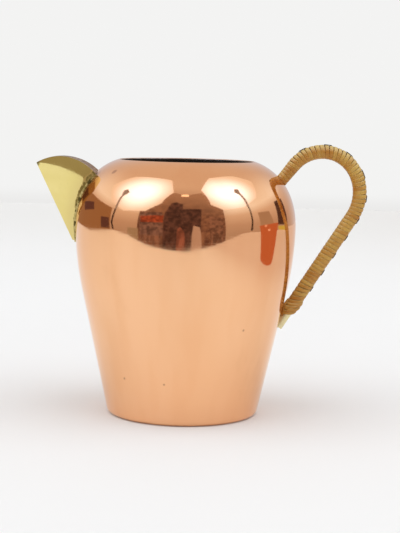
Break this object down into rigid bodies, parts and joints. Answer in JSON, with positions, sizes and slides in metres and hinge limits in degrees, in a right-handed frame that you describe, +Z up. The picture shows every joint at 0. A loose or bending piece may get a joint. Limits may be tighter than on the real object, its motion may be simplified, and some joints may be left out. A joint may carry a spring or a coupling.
{
  "type": "milk jug",
  "caption": "Round-shouldered copper milk jug with an open mouth, a folded brass spout soldered over a strainer, and a cane-wrapped brass loop handle.",
  "frame": {"origin": "centre of the base, on the surface the jug stands on", "axes": "+Z up along the axis of the body, -X towards the spout, +X towards the handle"},
  "size_m": [0.1825, 0.1212, 0.1505],
  "materials": {
    "copper": "polished copper, tinned inside",
    "brass": "polished",
    "solder": "as brazed",
    "cane": "natural gloss",
    "dark_cane": "natural gloss"
  },
  "bodies": {
    "root": {"body": "copper", "spout": "brass", "spout_solder": "solder", "handle_rod": "brass", "cane_wrap": "cane", "spine_strand": "dark_cane", "lower_binding": "cane"}
  },
  "joints": []
}
